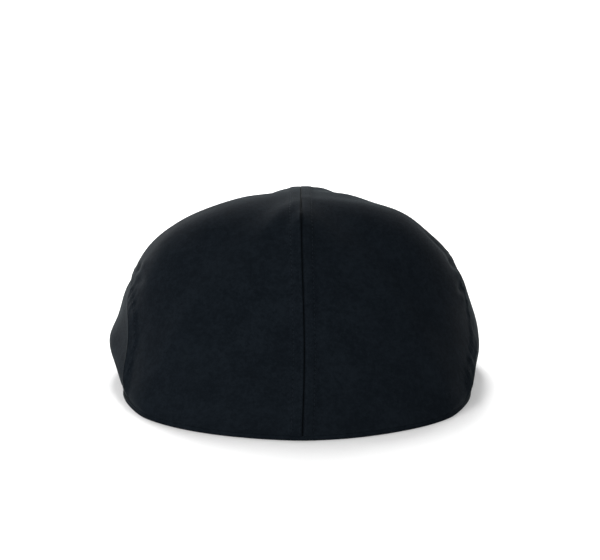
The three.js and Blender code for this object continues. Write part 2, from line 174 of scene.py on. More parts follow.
# %% Curves and tables
def smoothstep(low, high, value):
    t = np.clip((value - low) / (high - low), 0, 1)
    return t * t * (3 - 2 * t)


def table_value(table, name, at, key="azimuth"):
    """A column's value where the key column has the given values, on a monotone cubic."""
    x = np.array(table[key], float)
    y = np.array(table[name], float)
    width = np.diff(x)
    slope = np.diff(y) / width
    tangent = np.zeros(len(x))
    for k in range(1, len(x) - 1):
        before, after = slope[k - 1], slope[k]
        if before * after > 0:
            weight_before = 2 * width[k] + width[k - 1]
            weight_after = width[k] + 2 * width[k - 1]
            total = weight_before + weight_after
            tangent[k] = total / (weight_before / before + weight_after / after)
    i = np.clip(np.searchsorted(x, at) - 1, 0, len(x) - 2)
    t = np.clip((at - x[i]) / width[i], 0, 1)
    start = (2 * t**3 - 3 * t**2 + 1) * y[i] + (t**3 - 2 * t**2 + t) * width[i] * tangent[i]
    end = (3 * t**2 - 2 * t**3) * y[i + 1] + (t**3 - t**2) * width[i] * tangent[i + 1]
    return start + end


def oval(azimuth, half_width, half_length, middle_y, squareness):
    """Points of a superellipse, with azimuth 0 at its front."""
    angle = np.radians(azimuth)
    power = 2 / squareness
    x = half_width * np.sin(angle) ** power
    y = middle_y - half_length * np.sign(np.cos(angle)) * np.abs(np.cos(angle)) ** power
    return np.stack([x, y], -1)


def bezier(a, b, c, d, count):
    t = np.linspace(0, 1, count)[None, :, None]
    a, b, c, d = (p[:, None] for p in (a, b, c, d))
    return (1 - t) ** 3 * a + 3 * (1 - t) ** 2 * t * b + 3 * (1 - t) * t**2 * c + t**3 * d


def unit(vectors):
    return vectors / np.linalg.norm(vectors, axis=-1, keepdims=True)


# %% Plan curves
def waist_plan(azimuth):
    bill = oval(azimuth, BILL_HALF_WIDTH, BILL_REACH, BILL_MIDDLE_Y, BILL_SQUARENESS)
    body = oval(azimuth, WAIST_HALF_WIDTH, WAIST_HALF_LENGTH, WAIST_MIDDLE_Y, WAIST_SQUARENESS)
    share = smoothstep(WAIST_LEAVES_BILL, WAIST_JOINS_OVAL, azimuth)[:, None]
    return bill * (1 - share) + body * share


def spine_y(azimuth):
    return SPINE_MIDDLE_Y - SPINE_HALF_LENGTH * np.cos(np.radians(azimuth))


def foot_plan(azimuth):
    """Where the cloth ends: on the bill's edge in front, and on the hem's oval at the sides and the back."""
    wide = waist_plan(azimuth)
    start_y = spine_y(azimuth)
    out = unit(np.stack([wide[:, 0], wide[:, 1] - start_y], -1))
    a = (out[:, 0] / HEM_HALF_WIDTH) ** 2 + (out[:, 1] / HEM_LENGTH) ** 2
    b = (start_y - HEM_FRONT_Y) * out[:, 1] / HEM_LENGTH**2
    c = ((start_y - HEM_FRONT_Y) / HEM_LENGTH) ** 2 - 1
    reach = (np.sqrt(np.maximum(b * b - a * c, 0)) - b) / a
    hem = np.stack([out[:, 0] * reach, start_y + out[:, 1] * reach], -1)
    share = smoothstep(FOOT_LEAVES_WAIST, FOOT_JOINS_HEM, azimuth)[:, None]
    return wide * (1 - share) + hem * share


def foot_height(azimuth):
    return (BILL_THICKNESS + PLY_GAP) * (1 - smoothstep(HEM_LEAVES_BILL, HEM_TOUCHES_DOWN, azimuth))


# %% Meridians
UPPER_SAMPLES = 900
LOWER_SAMPLES = 240


class Meridians:
    """The smooth form's curves at some azimuths: their points and the distance of each from the top."""

    def __init__(self, azimuth):
        self.azimuth = azimuth = np.asarray(azimuth, float)
        angle = np.radians(azimuth)
        wide = waist_plan(azimuth)
        y = spine_y(azimuth)
        start = np.stack([0 * y, y, CROWN_HEIGHT - CROWN_FALL * (y - CROWN_PEAK_Y) ** 2], -1)
        out = unit(np.stack([wide[:, 0], wide[:, 1] - y], -1))
        lean = np.radians(table_value(SECTIONS, "lean", azimuth))
        waist = np.column_stack([wide, table_value(SECTIONS, "waist", azimuth) * MM])
        chord = np.linalg.norm(waist - start, axis=-1)[:, None]
        slope = -2 * CROWN_FALL * (y - CROWN_PEAK_Y) * out[:, 1] * np.cos(angle) ** 2
        leaving = unit(np.column_stack([out, slope]))
        falling = np.column_stack([out * np.cos(lean)[:, None], -np.sin(lean)])
        top_handle = table_value(SECTIONS, "top", azimuth)[:, None] * chord
        side_handle = table_value(SECTIONS, "side", azimuth)[:, None] * chord
        over = start + leaving * top_handle
        upper = bezier(start, over, waist - falling * side_handle, waist, UPPER_SAMPLES)

        end = np.column_stack([foot_plan(azimuth), foot_height(azimuth)])
        drop = np.linalg.norm(end - waist, axis=-1)[:, None]
        inward = (end - waist) * [UNDERTURN, UNDERTURN, 1]
        inward[:, 2] = np.minimum(inward[:, 2], -LEAST_FALL)
        under = waist + falling * WAIST_HANDLE * drop
        lower = bezier(waist, under, end - unit(inward) * FOOT_HANDLE * drop, end, LOWER_SAMPLES)
        self.points = np.concatenate([upper, lower[:, 1:]], 1)
        steps = np.linalg.norm(np.diff(self.points, axis=1), axis=-1)
        self.run = np.concatenate([np.zeros((len(y), 1)), np.cumsum(steps, 1)], 1)
        self.length = self.run[:, -1]

    def at(self, from_top):
        """Points at distances from the top, one row of distances for each meridian."""
        found = np.empty(from_top.shape + (3,))
        for i, wanted in enumerate(from_top):
            for k in range(3):
                found[i, :, k] = np.interp(wanted, self.run[i], self.points[i, :, k])
        return found

    def seam(self, side):
        """Distance of the side seam above the foot, along each meridian."""
        y = self.points[..., 1] / MM
        above = self.points[..., 2] / MM - table_value(SIDE_SEAM, side, y, key="y")
        last = above.shape[1] - 1 - np.argmax((above > 0)[:, ::-1], axis=1)
        last = np.minimum(last, above.shape[1] - 2)
        rows = np.arange(len(last))
        here, after = (rows, last), (rows, last + 1)
        share = above[here] / (above[here] - above[after])
        return self.length - self.run[here] - share * (self.run[after] - self.run[here])


check = Meridians([0, 90, 180])
print("meridians' lengths in mm, front, side and back:", (check.length / MM).round(1))

# %% [markdown]
# Folds, and the edges of the cloth
#
# Folds are soft hills and valleys: a bell curve in two directions, added along the surface's normal, as in
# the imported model. On top of them we add what only a close look shows: a sewn seam. The two panels lie face
# to face while they are sewn, then open out, so each panel's edge rolls down into the seam. The spare cloth
# behind is pressed flat to both sides, and a row of stitches holds it 6.2 mm from the seam. That leaves a
# slightly raised band, with a fine valley where the thread pulls it in.

# %% Detail sizes
HEM_ROLL = 1.4 * MM
SEAM_ROLL = 0.5 * MM
FOOT_ROLL = 0.15 * MM
MOST_ROLLED = 0.4
STITCH_INSET = 6.2 * MM
BAND_RISE = 0.75 * MM
BAND_END = 7 * MM
BAND_FADE = 1.5 * MM
VALLEY_DEPTH = 0.2 * MM
VALLEY_WIDTH = 0.8 * MM
PUCKER_PITCH = 8.5 * MM
PUCKER_RISE = 0.05 * MM
PUCKER_START = 0.5 * MM
PUCKER_FULL = 3 * MM
PUCKER_END = 2.3 * STITCH_INSET
PUCKER_DRIFT = 1.5
PUCKER_DRIFT_TURNS = 3.7
PUCKER_SWELL = 0.35
PUCKER_SWELL_TURNS = 5.3
SIDE_PUCKERING = 7
SMOOTH_FROM_Z = 85 * MM
SMOOTH_ABOVE_Z = 100 * MM
HEM_STITCH_INSET = 5 * MM
HEM_ROW_FROM_HEIGHT = 12 * MM
HEM_ROW_FULL_HEIGHT = 24 * MM
UNEVEN_RISE = 0.22 * MM
UNEVEN_SCALE = 30 * MM
SIDE_SEAM_RAMP = 2.5
SIDE_PANEL_START = 76.3
FAR_OFF = 1.0
LEAST_FACING = 0.5

# Single puckers by the side seam, in a table like the folds', but placed by y and z.
PUCKERS = {
    "side": ["left"] * 7 + ["right"] * 3,
    "y": [8, 3, -3, -6, -9, -28, 10, 6, 0, -7],
    "z": [71, 65, 58, 52, 31, 20, 83, 68, 72, 64],
    "y_reach": [4, 4, 4, 5, 4, 4, 3, 4, 5, 5],
    "z_reach": [3, 2.5, 2.5, 3, 4, 5, 7, 3, 3, 3],
    "rise": [-1.2, 0.8, -1.2, 0.8, -1, -1, -0.8, -1.3, 0.6, -0.9],
}


# %% Detail functions
def rows_of(table):
    """Goes through a table of named columns one row at a time."""
    names = list(table)
    for values in zip(*table.values()):
        yield dict(zip(names, values))


def bell(distance, width):
    return np.exp(-((distance / width) ** 2))


def rolled(distance, radius):
    """How far an edge that is rolled under has dropped, at a distance from the edge."""
    inside = np.clip(1 - distance / radius, 0, 1)
    return -radius * (1 - np.sqrt(1 - inside**2))


def raised_band(distance):
    """The band beside a topstitched seam, raised by the spare cloth behind it."""
    return BAND_RISE * (1 - smoothstep(BAND_END - BAND_FADE, BAND_END + BAND_FADE, distance))


def stitched_valley(distance, inset=STITCH_INSET):
    return -VALLEY_DEPTH * bell(distance - inset, VALLEY_WIDTH)


def puckered(distance, along):
    """Small ripples across a stitched seam: none at its edge, most beside the stitches, gone further off."""
    phase = 2 * np.pi * along / PUCKER_PITCH
    drift = PUCKER_DRIFT * np.sin(phase / PUCKER_DRIFT_TURNS)
    swell = 1 - PUCKER_SWELL * (1 - np.sin(phase / PUCKER_SWELL_TURNS))
    begun = smoothstep(PUCKER_START, PUCKER_FULL, distance)
    ended = smoothstep(STITCH_INSET, PUCKER_END, distance)
    return PUCKER_RISE * np.sin(phase + drift) * swell * begun * (1 - ended)


def soft_noise(points, scale, seed, waves=14, pitches=(0.5, 1.3)):
    """A smooth random field between about -1 and 1, made of a few plane waves of several pitches."""
    rng = np.random.default_rng(seed)
    total = 0
    for _ in range(waves):
        direction = unit(rng.normal(size=3)) * (2 * np.pi / scale) * rng.uniform(*pitches)
        total = total + np.sin(points @ direction + rng.uniform(0, 2 * np.pi))
    return total / math.sqrt(waves)


def hills(table, side, **places):
    """How high the hills and dents of a table raise the cloth, with a bell curve in two directions."""
    rise = 0
    for hill in rows_of(table):
        if hill["side"] == side:
            height = hill["rise"] * MM
            for name, place in places.items():
                height = height * bell(place - hill[name], hill[name + "_reach"])
            rise = rise + height
    return rise


print("a rolled edge drops", -round(float(rolled(0.0, SEAM_ROLL)) / MM, 2), "mm into the seam")

# %% [markdown]
# Grids
#
# A panel is a grid of points: a column on each meridian, and rows at distances from its edges. Rows and
# columns crowd together near the seams, where a roll or a valley is only a millimetre wide. They are wide
# apart on the smooth cloth between, which keeps the triangle count down.

# %% Rows and columns
EDGE_ROWS = np.array([
    0, 0.06, 0.15, 0.3, 0.5, 0.75, 1.05, 1.4, 1.8, 2.4, 3.1, 3.9,
    4.7, 5.3, 5.7, 6.1, 6.5, 6.9, 7.3, 7.9, 8.7, 9.8, 11.2,
]) * MM
MIDDLE_ROWS_TOP = 92
MIDDLE_ROWS_SIDE = 34
SHORT_EDGE_SHARE = 0.42


def graded_rows(height, middle):
    """Distances from a column's top, crowded at both ends. A short column squeezes the crowded rows."""
    squeeze = np.minimum(1, SHORT_EDGE_SHARE * height / EDGE_ROWS[-1])[:, None]
    near_top = EDGE_ROWS[None] * squeeze
    near_foot = height[:, None] - near_top[:, ::-1]
    t = np.linspace(0, 1, middle + 2)[1:-1][None]
    between = near_top[:, -1:] * (1 - t) + near_foot[:, :1] * t
    return np.concatenate([near_top, between, near_foot], 1)


def graded_columns(*spans):
    """Azimuths in spans of (from, to, step)."""
    parts = [np.linspace(a, b, max(1, round((b - a) / step)), endpoint=False) for a, b, step in spans]
    return np.append(np.concatenate(parts), spans[-1][1])


TOP_COLUMNS = graded_columns(
    (0, 0.5, 0.08), (0.5, 7, 0.24), (7, 75, 0.9), (75, 79, 0.25), (79, 100, 0.45), (100, 172, 0.85),
    (172, 179.5, 0.26), (179.5, 180, 0.08),
)
SIDE_COLUMNS = graded_columns(
    (SIDE_PANEL_START, 79, 0.15), (79, 81.6, 0.4), (81.6, 82.8, 0.1), (82.8, 100, 0.4),
    (100, 172, 0.8), (172, 179.5, 0.26), (179.5, 180, 0.08),
)
print(len(TOP_COLUMNS), "columns on a top panel and", len(SIDE_COLUMNS), "on a side panel")


# %% Normals and edge directions
# On the spine the columns run together, so the first rows take the normal of this one.
NORMAL_ROWS_FROM = 9


def grid_normals(points):
    """Outward normals of a grid whose rows run down and whose columns run from the front to the back."""
    down = np.gradient(points, axis=1)
    back = np.gradient(points, axis=0)
    normals = unit(np.cross(down, back))
    normals[:, :NORMAL_ROWS_FROM] = normals[:, NORMAL_ROWS_FROM:NORMAL_ROWS_FROM + 1]
    return normals


def edge_direction(normals, above_foot):
    """The normal, turned level towards the foot, so that the cloth's edge stands flat."""
    level = unit(normals * [1, 1, 0])
    share = smoothstep(0, EDGE_TURN, above_foot)[..., None]
    return unit(level * (1 - share) + normals * share)


def climb_factor(meridians, edge_from_top):
    """Turns a distance along the meridian into a distance square to the seam, for each column."""
    seam = meridians.at(edge_from_top[:, None])[:, 0]
    above = meridians.at(edge_from_top[:, None] - MM)[:, 0]
    seam_direction = unit(np.gradient(seam, axis=0))
    meridian_direction = unit(seam - above)
    return np.linalg.norm(np.cross(seam_direction, meridian_direction), axis=-1)


def run_along(points):
    """Distance along a line of points from its first."""
    return np.concatenate([[0], np.cumsum(np.linalg.norm(np.diff(points, axis=0), axis=-1))])


# %% [markdown]
# From a grid to a closed piece
#
# The real panels are cloth, so each becomes a thin closed shell: an outer grid, an inner grid one wall
# deeper and a strip along every border. Each half of the cap is worked out with positive x, then mirrored
# by its sign and moved into the frame, with the small offset that brings the centre seam to its place.

# %% Shells
SIGN = {"left": 1, "right": -1}
SHARP_ANGLE = math.radians(60)


def placed(points, side):
    """Moves points of one half of the cap into the frame."""
    x = SIGN[side] * points[..., 0]
    y = points[..., 1]
    offset = SEAM_OFFSET + SEAM_BOW * bell(y - SEAM_BOW_Y, SEAM_BOW_LENGTH)
    near = np.maximum(0, 1 - (x / SEAM_OFFSET_REACH) ** 2) ** 2
    return np.stack([x + offset * near + CENTRE_SHIFT_X, y + CENTRE_SHIFT_Y, points[..., 2]], -1)


def grid_faces(index):
    """Quads of a grid, from its vertex numbers, which run down each column."""
    quads = [index[:-1, :-1], index[:-1, 1:], index[1:, 1:], index[1:, :-1]]
    return np.stack(quads, -1).reshape(-1, 4)


def added(name, data):
    """A new object in the scene."""
    item = bpy.data.objects.new(name, data)
    bpy.context.scene.collection.objects.link(item)
    return item


def make_mesh(name, vertices, faces, uv):
    mesh = bpy.data.meshes.new(name)
    mesh.from_pydata(vertices.tolist(), [], [list(face) for face in faces])
    layer = mesh.uv_layers.new(name="cloth")
    loops = np.empty(len(mesh.loops), np.int32)
    mesh.loops.foreach_get("vertex_index", loops)
    layer.data.foreach_set("uv", uv[loops].astype(np.float32).ravel())
    mesh.polygons.foreach_set("use_smooth", np.ones(len(mesh.polygons), bool))
    mesh.set_sharp_from_angle(angle=SHARP_ANGLE)
    mesh.update()
    return added(name, mesh)


def shell(name, side, outer, inner, uv):
    """A closed panel between an outer and an inner grid, in the frame."""
    vertices = placed(np.stack([outer, inner]), side).reshape(-1, 3)
    count = len(vertices) // 2
    index = np.arange(count).reshape(outer.shape[:2])
    top = grid_faces(index)
    rim = np.concatenate([index[0, :-1], index[:-1, -1], index[-1, :0:-1], index[:0:-1, 0]])
    ahead = np.roll(rim, -1)
    strip = np.stack([ahead, rim, rim + count, ahead + count], -1)
    faces = np.concatenate([top, top[:, ::-1] + count, strip])
    if SIGN[side] < 0:
        faces = faces[:, ::-1]
    return make_mesh(name, vertices, faces, np.tile(uv.reshape(-1, 2), (2, 1)))


def unrolled(points, normals, side):
    """Flat cloth coordinates in metres, rolled out along each meridian from the spine."""
    step = np.diff(points, axis=1)
    mean = unit(normals[:, 1:] + normals[:, :-1])
    across = unit(np.stack([mean[..., 2], 0 * mean[..., 0], -mean[..., 0]], -1))
    along = np.cross(mean, across)
    flat = np.stack([(step * across).sum(-1), (step * along).sum(-1)], -1)
    start = np.stack([0 * points[:, :1, 0], points[:, :1, 1]], -1)
    return np.concatenate([start, start + np.cumsum(flat, 1)], 1) * [SIGN[side], 1]


# %% [markdown]
# The two top panels
#
# Each runs from the spine down to the bill's edge in front and to the side seam behind the bill's tip. The
# centre seam follows x = 0 before it is bowed, so the distance from it is simply x. The distance from the
# lower edge is measured along the meridian and then squared up, because the side seam climbs steeply across
# the meridians.


# %% Side seam on the meridians
def seam_height(curves, side):
    """How far the side seam lies above the foot. It starts from nothing at the bill's tip."""
    ramp = np.clip((curves.azimuth - SEAM_START_AZIMUTH) / SIDE_SEAM_RAMP, 0, 1)
    return curves.seam(side) * (1 - (1 - ramp) ** 2)


def seam_rise(azimuth, off_seam):
    """The ridge along the front of the side seam, and the tuck along the rest of it."""
    tucked = smoothstep(SEAM_TUCK_START, SEAM_TUCK_FULL, azimuth)
    ridged = smoothstep(SEAM_START_AZIMUTH, SEAM_RIDGE_FULL, azimuth) * (1 - tucked)
    ridge = SEAM_RIDGE * ridged * np.exp(-np.abs(off_seam) / SEAM_RIDGE_REACH)
    return ridge - SEAM_TUCK * tucked * bell(off_seam, SEAM_TUCK_WIDTH)


def soft_surface(curves, side, from_top, seam_above_foot):
    """The cloth before its sewn details: smooth points, folded points, ways outward and through the wall."""
    azimuth = curves.azimuth[:, None]
    smooth = curves.at(from_top)
    normals = grid_normals(smooth)
    above_foot = curves.length[:, None] - from_top
    outward = edge_direction(normals, above_foot)
    rise = hills(FOLDS, side, azimuth=azimuth, from_top=from_top / MM)
    rise += seam_rise(azimuth, above_foot - seam_above_foot[:, None])
    base = smooth + outward * rise[..., None]
    uneven = UNEVEN_RISE * soft_noise(placed(base, side), UNEVEN_SCALE, seed=11)
    base = base + outward * (uneven * smoothstep(0, EDGE_TURN, above_foot))[..., None]
    facing = np.maximum((outward * normals).sum(-1), LEAST_FACING)[..., None]
    return smooth, base, outward, outward / facing


# %% Top panels
def top_panel(side):
    curves = Meridians(TOP_COLUMNS)
    seam_above_foot = seam_height(curves, side)
    behind = smoothstep(SEAM_START_AZIMUTH, SEAM_RIDGE_FULL, curves.azimuth)[:, None]
    height = curves.length - seam_above_foot
    climb = climb_factor(curves, height)
    from_top = graded_rows(height, MIDDLE_ROWS_TOP)
    smooth, base, outward, through = soft_surface(curves, side, from_top, seam_above_foot)

    centre = smooth[..., 0]
    above = (height[:, None] - from_top) * climb[:, None]
    edge_run = run_along(base[:, -1])
    cloth = unrolled(base, grid_normals(base), side)
    detail = np.maximum(raised_band(centre), raised_band(above) * behind)
    detail += np.minimum(stitched_valley(centre), stitched_valley(above) * behind)
    lower_roll = FOOT_ROLL + (SEAM_ROLL - FOOT_ROLL) * behind
    detail += np.minimum(rolled(centre, SEAM_ROLL), rolled(above, lower_roll))
    crest = smoothstep(SMOOTH_FROM_Z, SMOOTH_ABOVE_Z, smooth[..., 2])
    detail += puckered(centre, cloth[..., 1]) * (1 - crest)
    detail += SIDE_PUCKERING * puckered(above, edge_run[:, None]) * behind
    detail += hills(PUCKERS, side, y=base[..., 1] / MM, z=base[..., 2] / MM)
    outer = base + outward * detail[..., None]
    inner = base - through * CLOTH_WALL
    piece = shell(f"top_cloth_{side}", side, outer, inner, cloth)
    print(piece.name, len(piece.data.polygons), "faces; side seam", round(edge_run[-1] / MM), "mm round")
    rear = curves.azimuth > SEAM_START_AZIMUTH
    seams = {"centre": centre, "side": np.where(rear[:, None], above, FAR_OFF)}
    return piece, {"seams": seams, "outer": outer, "outward": outward}


# %% [markdown]
# The two side panels
#
# They start as a point at the bill's tips, widen under the side seam and meet at the back. Their upper edge
# meets the top panel's on the ridge or in the tuck of the side seam. Their lower edge is the hem: the cloth
# is turned up inside and held by a row of stitches, so the edge is round rather than cut.


# %% Side panels
def side_panel(side):
    curves = Meridians(SIDE_COLUMNS)
    height = seam_height(curves, side)
    climb = climb_factor(curves, curves.length - height)
    below = graded_rows(height, MIDDLE_ROWS_SIDE)
    from_top = curves.length[:, None] - height[:, None] + below
    smooth, base, outward, through = soft_surface(curves, side, from_top, height)

    centre = smooth[..., 0]
    below_seam = below * climb[:, None]
    above_foot = height[:, None] - below
    hem_roll = np.minimum(HEM_ROLL, MOST_ROLLED * height)[:, None]
    seam_roll = np.minimum(SEAM_ROLL, MOST_ROLLED * height)[:, None]
    cloth = np.stack([0 * below + run_along(base[:, -1])[:, None] * SIGN[side], -below], -1)
    wide = smoothstep(HEM_ROW_FROM_HEIGHT, HEM_ROW_FULL_HEIGHT, height)[:, None]
    detail = raised_band(centre) + stitched_valley(centre) + puckered(centre, -below)
    detail += wide * stitched_valley(above_foot, HEM_STITCH_INSET)
    detail += np.minimum(rolled(np.minimum(centre, below_seam), seam_roll), rolled(above_foot, hem_roll))
    outer = base + outward * detail[..., None]
    wall = CLOTH_WALL + rolled(above_foot, hem_roll)
    inner = base - through * wall[..., None]
    piece = shell(f"side_cloth_{side}", side, outer, inner, cloth)
    print(piece.name, len(piece.data.polygons), "faces; up to", round(height.max() / MM), "mm high")
    seams = {"hem": np.where(wide > 0.5, above_foot, FAR_OFF), "centre": centre, "side": below_seam}
    return piece, {"seams": seams, "outer": outer, "outward": outward}


# %% [markdown]
# The bill
#
# A stiff board with the same cloth drawn tightly round it. Only its front edge shows, as a thin band under
# the front of the cap. Its section is a flat strip with round edges, swept round the front. Towards the
# forehead it rises in a low arch, which shows from below.

# %% Bill
BILL_COLUMNS = 161
BILL_FLAT_POINTS = 18
BILL_CORNER_POINTS = 5
BILL_UPPER_ROUND = 0.4 * MM
BILL_LOWER_ROUND = 0.8 * MM


def strip_section(width, thickness):
    """Points once round a flat strip with round corners: distance from its outer edge, and height."""
    turn = np.linspace(0, np.pi / 2, BILL_CORNER_POINTS)
    low = BILL_LOWER_ROUND * np.stack([1 - np.sin(turn), 1 - np.cos(turn)], -1)
    high = BILL_UPPER_ROUND * np.stack([1 - np.cos(turn), np.sin(turn) - 1], -1) + [0, thickness]
    outer = np.concatenate([low, high])
    inner = outer[::-1] * [-1, 1] + [width, 0]
    flat = np.linspace(BILL_UPPER_ROUND, width - BILL_UPPER_ROUND, BILL_FLAT_POINTS)[1:-1]
    top = np.stack([flat, 0 * flat + thickness], -1)
    under = np.stack([flat[::-1], 0 * flat], -1)
    return np.concatenate([outer, top, inner, under[1:-1]])


def bill_piece():
    tip = foot_plan(np.array([BILL_TIP_AZIMUTH]))[0]
    columns = []
    around = []
    for turn in np.linspace(-1, 1, BILL_COLUMNS):
        outer = foot_plan(np.array([abs(turn) * BILL_TIP_AZIMUTH]))[0]
        angle = abs(turn) * np.pi / 2
        inner_x = (tip[0] - BILL_TIP_DEPTH) * np.sin(angle)
        inner_y = tip[1] + (BILL_INNER_Y - tip[1]) * np.cos(angle)
        reach = np.array([inner_x, inner_y]) - outer
        width = np.linalg.norm(reach)
        section = strip_section(width, BILL_THICKNESS)
        share = section[:, 0] / width
        arch = BILL_ARCH * np.cos(angle) ** 2
        rise = arch * (np.maximum(0, share - BILL_FLAT_SHARE) / (1 - BILL_FLAT_SHARE)) ** 2
        points = np.column_stack([outer + share[:, None] * reach, section[:, 1] + rise])
        columns.append(placed(points, "right" if turn < 0 else "left"))
        around.append(run_along(section))
    vertices = np.array(columns)
    around = np.array(around)
    cloth = np.stack([0 * around + run_along(vertices[:, 0])[:, None], around], -1)
    index = np.arange(around.size).reshape(around.shape)
    ahead = np.roll(index, -1, axis=1)
    quads = np.stack([index[:-1], index[1:], ahead[1:], ahead[:-1]], -1).reshape(-1, 4)
    faces = quads.tolist() + [index[0].tolist(), index[-1, ::-1].tolist()]
    return make_mesh("bill_cover", vertices.reshape(-1, 3), faces, cloth.reshape(-1, 2))


# %% Make the cloth pieces
cloth_pieces = {}
for side in SIGN:
    cloth_pieces[f"top_{side}"] = top_panel(side)
    cloth_pieces[f"side_{side}"] = side_panel(side)
bill_cover = bill_piece()
print("bill cover:", len(bill_cover.data.polygons), "faces")

# %% [markdown]
# Rows of stitches
#
# A topstitched row is a line on the cloth at a fixed distance from a seam. We find it as a contour line:
# where the distance, known at every grid point, passes the wanted value, the row crosses that grid edge.
# Sorted by their turn about the cap, the crossings become the row's path. Each point of the cloth also
# learns how many stitches lie before it, so that the material can press in the needle holes, and paint
# shade into them, in step with the stitches that we lay on top.

# %% Paths of the rows
STITCH_PITCH = 2.8 * MM
TURN_POINT = [0, 10 * MM, 30 * MM]


def contour(distance, inset, *fields):
    """Where a distance passes the inset on a grid's edges. The fields are carried along."""
    found = [[] for _ in fields]
    for axis in (0, 1):
        count = distance.shape[axis]
        near = np.take(distance, range(count - 1), axis)
        far = np.take(distance, range(1, count), axis)
        crossed = ((near < inset) != (far < inset)) & (np.maximum(near, far) < FAR_OFF)
        share = ((inset - near[crossed]) / (far[crossed] - near[crossed]))[:, None]
        for kept, field in zip(found, fields):
            a = np.take(field, range(count - 1), axis)[crossed]
            b = np.take(field, range(1, count), axis)[crossed]
            kept.append(a + share * (b - a))
    return [np.concatenate(kept) for kept in found]


def row_path(side, grids, seam, inset):
    """The placed points and outward directions of one row of stitches, in order."""
    points, outward = contour(grids["seams"][seam], inset, grids["outer"], grids["outward"])
    x, y, z = (points - TURN_POINT).T
    turn = np.arctan2(z if seam == "centre" else x, -y)
    if seam == "centre":
        turn = np.where(turn < -np.pi / 2, turn + 2 * np.pi, turn)
    order = np.argsort(turn)
    points = placed(points, side)[order]
    run = run_along(points)
    # A centre row stops one stitch short of both its ends. On the side seam and the hem, the point in the
    # middle of the back sorts first and is dropped here, so these rows stop short only at the back.
    kept = (run > STITCH_PITCH) & (run < run[-1] - STITCH_PITCH)
    return points[kept], unit(outward[order] * [SIGN[side], 1, 1])[kept]


# Which seams of which panel carry a row, and how far from the seam it runs.
ROWS = {
    "panel": ["top", "top", "side", "side"],
    "seam": ["centre", "side", "centre", "hem"],
    "inset": [STITCH_INSET, STITCH_INSET, STITCH_INSET, HEM_STITCH_INSET],
}
paths = {}
for row in rows_of(ROWS):
    for side in SIGN:
        panel = f"{row['panel']}_{side}"
        points, outward = row_path(side, cloth_pieces[panel][1], row["seam"], row["inset"])
        length = run_along(points)[-1]
        stitches = round(length / STITCH_PITCH)
        paths[panel, row["seam"]] = {
            "points": points, "outward": outward, "stitches": stitches, "inset": row["inset"],
        }
        print(panel, row["seam"], "row:", round(length / MM), "mm,", stitches, "stitches")

# %% [markdown]
# What the cloth knows about its seams
#
# Three numbers at every point tell the material where it is: the distance to the nearest row of stitches,
# the count of stitches along that row, and the distance to the nearest edge. Stored as attributes, they
# keep in place, whatever the shape does, a needle hole with its painted shade, the painted shade in a
# seam's crease, and the lighter shoulder beside it: rubbed wear with a painted highlight.

# %% Attributes on the panels
PATH_STEP = 0.4 * MM
CLOTH_NUMBERS = ("row_off", "row_run", "edge_off")


def stitch_count_at(points, path):
    """How many stitches of a row lie before each of the points."""
    run = run_along(path["points"])
    fine = np.arange(0, run[-1], PATH_STEP)
    fine_points = np.stack([np.interp(fine, run, path["points"][:, k]) for k in range(3)], -1)
    tree = kdtree.KDTree(len(fine))
    for i, point in enumerate(fine_points):
        tree.insert(point, i)
    tree.balance()
    nearest = np.array([tree.find(point)[1] for point in points])
    before = np.clip(nearest - 1, 0, len(fine) - 3)
    along = fine_points[before + 2] - fine_points[before]
    past = ((points - fine_points[before]) * along).sum(-1) / (along * along).sum(-1)
    return (fine[before] + past * 2 * PATH_STEP) / run[-1] * path["stitches"]


def store(piece, name, values):
    layer = piece.data.attributes.new(name, "FLOAT", "POINT")
    layer.data.foreach_set("value", values.astype(np.float32))


def mark_seams(panel):
    """Stores the three numbers on a panel's points. The inner wall counts as far from every seam."""
    piece, grids = cloth_pieces[panel]
    side = panel.split("_")[1]
    points = placed(grids["outer"], side).reshape(-1, 3)
    row_off = np.full(len(points), FAR_OFF)
    row_run = np.zeros(len(points))
    for (place, seam), path in paths.items():
        if place == panel:
            off = np.abs(grids["seams"][seam].ravel() - path["inset"])
            nearer = off < row_off
            row_off[nearer] = off[nearer]
            row_run[nearer] = stitch_count_at(points[nearer], path)
    edge_off = np.minimum.reduce([distance.ravel() for distance in grids["seams"].values()])
    inner = np.full(len(points), FAR_OFF)
    for name, values in zip(CLOTH_NUMBERS, (row_off, row_run, edge_off)):
        store(piece, name, np.concatenate([values, inner]))
    print(piece.name, "has", int((row_off < VALLEY_WIDTH).sum()), "points in its stitched valleys")


for panel in cloth_pieces:
    mark_seams(panel)
for name in CLOTH_NUMBERS:
    store(bill_cover, name, np.full(len(bill_cover.data.vertices), FAR_OFF))

# %% [markdown]
# Stitches
#
# Each stitch is a short bow of thread that comes up through one needle hole and goes down through the next.
# Modelling several hundred by hand would be slow, and an array can't follow a curved row. With Geometry
# Nodes, a row is resampled to one point for each stitch, and a bow is set on each point, turned along the
# row and away from the cloth, with a little seeded unevenness, as from a machine on soft cloth.


# %% Node trees written as formulas
def arithmetic(operation):
    """A method of Wire that adds one Math node."""
    return lambda wire, other: wire.graph.math(operation, wire, other)


class Wire:
    """A node's output. Arithmetic with it adds Math nodes, so a pattern reads like a formula."""

    __add__ = __radd__ = arithmetic("ADD")
    __mul__ = __rmul__ = arithmetic("MULTIPLY")
    __sub__ = arithmetic("SUBTRACT")
    __pow__ = arithmetic("POWER")

    def __init__(self, graph, socket):
        self.graph = graph
        self.socket = socket

    def __rsub__(self, other):
        return self.graph.math("SUBTRACT", other, self)

    def __neg__(self):
        return self * -1


